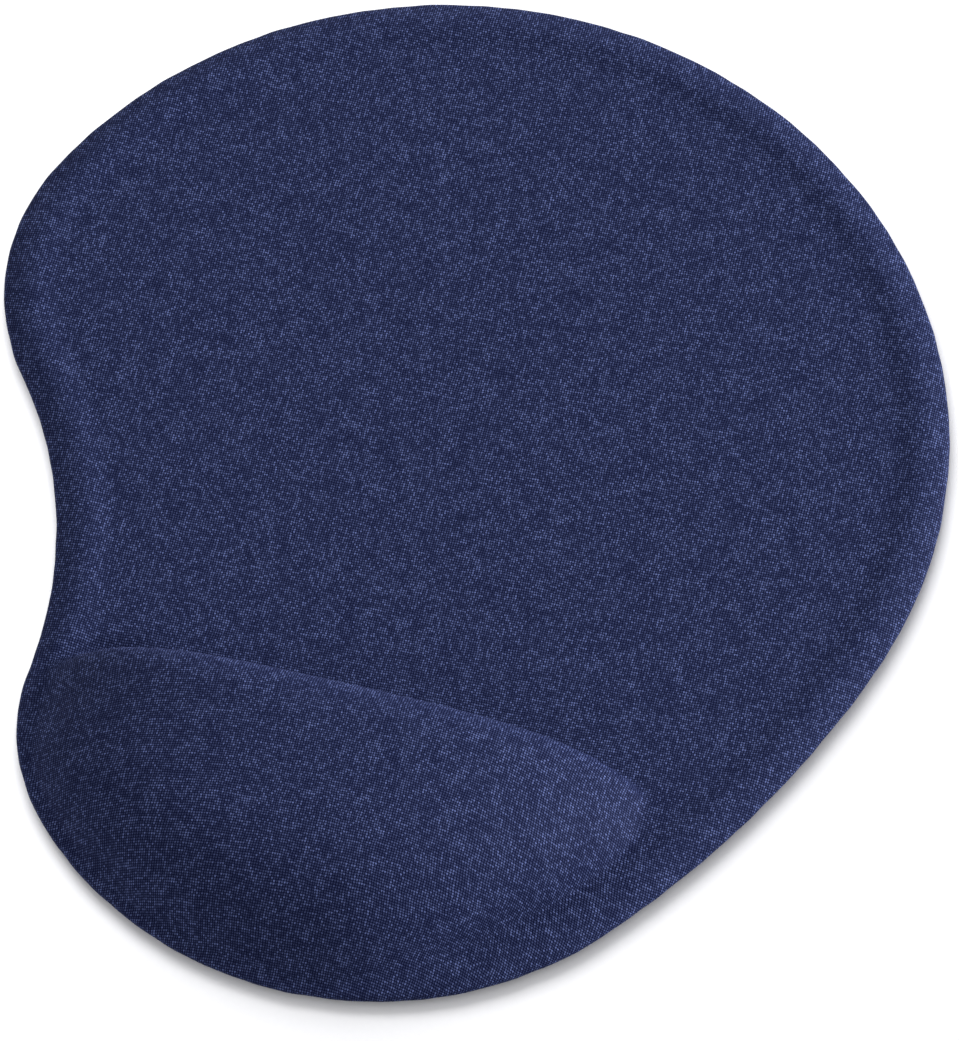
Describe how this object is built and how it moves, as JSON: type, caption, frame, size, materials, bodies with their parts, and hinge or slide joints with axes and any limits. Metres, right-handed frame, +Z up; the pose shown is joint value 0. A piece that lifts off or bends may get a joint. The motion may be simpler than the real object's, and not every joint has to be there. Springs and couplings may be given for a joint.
{
  "type": "mouse pad with wrist rest",
  "caption": "Fabric-covered mouse pad with a rounded, waisted outline whose front edge swells into a soft wrist rest, on a non-slip base.",
  "frame": {"origin": "on the table surface, at the middle of the pad's outline", "axes": "+Y away from the user, along the pad's length; +X to the user's right, along the rest; +Z up"},
  "size_m": [0.215, 0.25, 0.02],
  "materials": {
    "cover_knit": "navy blue stretch knit with a slight sheen",
    "hot_melt_film": "thin milky adhesive film",
    "pad_foam": "matt closed-cell foam",
    "soft_gel": "soft translucent filling",
    "pouch_film": "clear flexible film",
    "base_rubber": "matt black, finely embossed"
  },
  "bodies": {
    "root": {"cover_fabric": "cover_knit", "fabric_adhesive_film": "hot_melt_film", "pad_foam": "pad_foam", "gel_core": "soft_gel", "gel_film_upper": "pouch_film", "gel_film_lower": "pouch_film", "base_adhesive_film": "hot_melt_film", "base_sheet": "base_rubber"}
  },
  "joints": []
}
